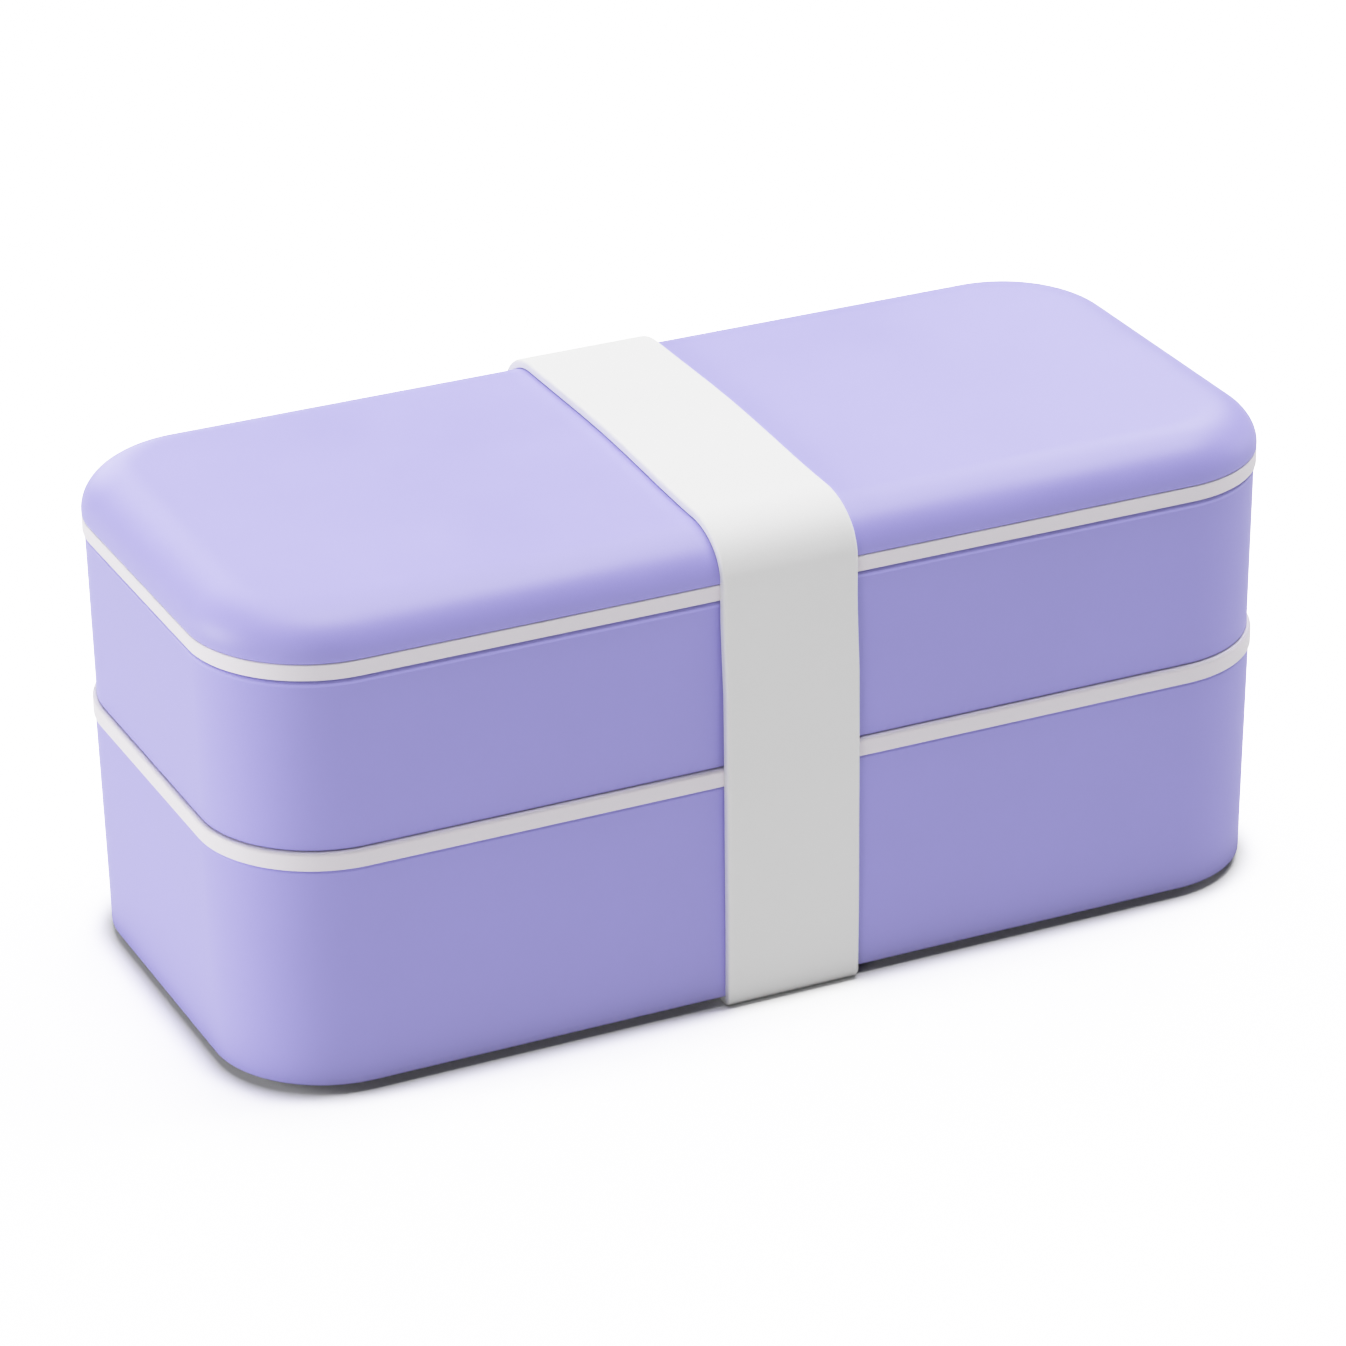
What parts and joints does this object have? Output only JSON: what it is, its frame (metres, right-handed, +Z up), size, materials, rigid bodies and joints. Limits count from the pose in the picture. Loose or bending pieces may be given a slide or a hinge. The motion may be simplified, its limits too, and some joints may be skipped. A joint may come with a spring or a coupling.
{
  "type": "bento lunch box",
  "caption": "Slim tiered bento lunch box: stacked food containers with sealing lids under a domed cover, held shut by an elastic band.",
  "frame": {"origin": "centre of the footprint, on the surface the box stands on (underside of the foot rails)", "axes": "+X along the length, +Y across the width towards the back, +Z up"},
  "size_m": [0.186, 0.0886, 0.0843],
  "materials": {
    "lavender_plastic": "soft-touch matte moulded polypropylene",
    "white_plastic": "fine matte moulded polypropylene",
    "divider_plastic": "satin moulded polypropylene",
    "silicone": "matte food-grade silicone",
    "band_elastomer": "smooth matte elastic band"
  },
  "bodies": {
    "lower_container": {"lower_container": "lavender_plastic"},
    "lower_divider": {"lower_divider": "divider_plastic"},
    "middle_lid": {"middle_lid": "white_plastic", "middle_lid_gasket": "silicone"},
    "middle_vent_plug": {"middle_vent_plug": "silicone"},
    "upper_container": {"upper_container": "lavender_plastic"},
    "upper_divider": {"upper_divider": "divider_plastic"},
    "upper_lid": {"upper_lid": "white_plastic", "upper_lid_gasket": "silicone"},
    "upper_vent_plug": {"upper_vent_plug": "silicone"},
    "lid_cover": {"lid_cover": "lavender_plastic"},
    "elastic_band": {"elastic_band": "band_elastomer"}
  },
  "joints": [
    {"name": "middle_lid_lift", "type": "slide", "parent": "lower_container", "child": "middle_lid", "axis": [0, 0, 1], "range_m": [0, 0.06]},
    {"name": "upper_container_lift", "type": "slide", "parent": "middle_lid", "child": "upper_container", "axis": [0, 0, 1], "range_m": [0, 0.055]},
    {"name": "upper_lid_lift", "type": "slide", "parent": "upper_container", "child": "upper_lid", "axis": [0, 0, 1], "range_m": [0, 0.045]},
    {"name": "cover_lift", "type": "slide", "parent": "upper_lid", "child": "lid_cover", "axis": [0, 0, 1], "range_m": [0, 0.04]},
    {"name": "lower_divider_slide", "type": "slide", "parent": "lower_container", "child": "lower_divider", "axis": [1, 0, 0], "range_m": [-0.082, 0.038]},
    {"name": "upper_divider_slide", "type": "slide", "parent": "upper_container", "child": "upper_divider", "axis": [1, 0, 0], "range_m": [-0.036, 0.084]},
    {"name": "middle_vent_pull", "type": "slide", "parent": "middle_lid", "child": "middle_vent_plug", "axis": [0, 0, 1], "range_m": [0, 0.0024]},
    {"name": "upper_vent_pull", "type": "slide", "parent": "upper_lid", "child": "upper_vent_plug", "axis": [0, 0, 1], "range_m": [0, 0.004]},
    {"name": "band_slip", "type": "slide", "parent": "lower_container", "child": "elastic_band", "axis": [1, 0, 0], "range_m": [-0.12, 0.12], "deforming": ["elastic_band"]}
  ]
}
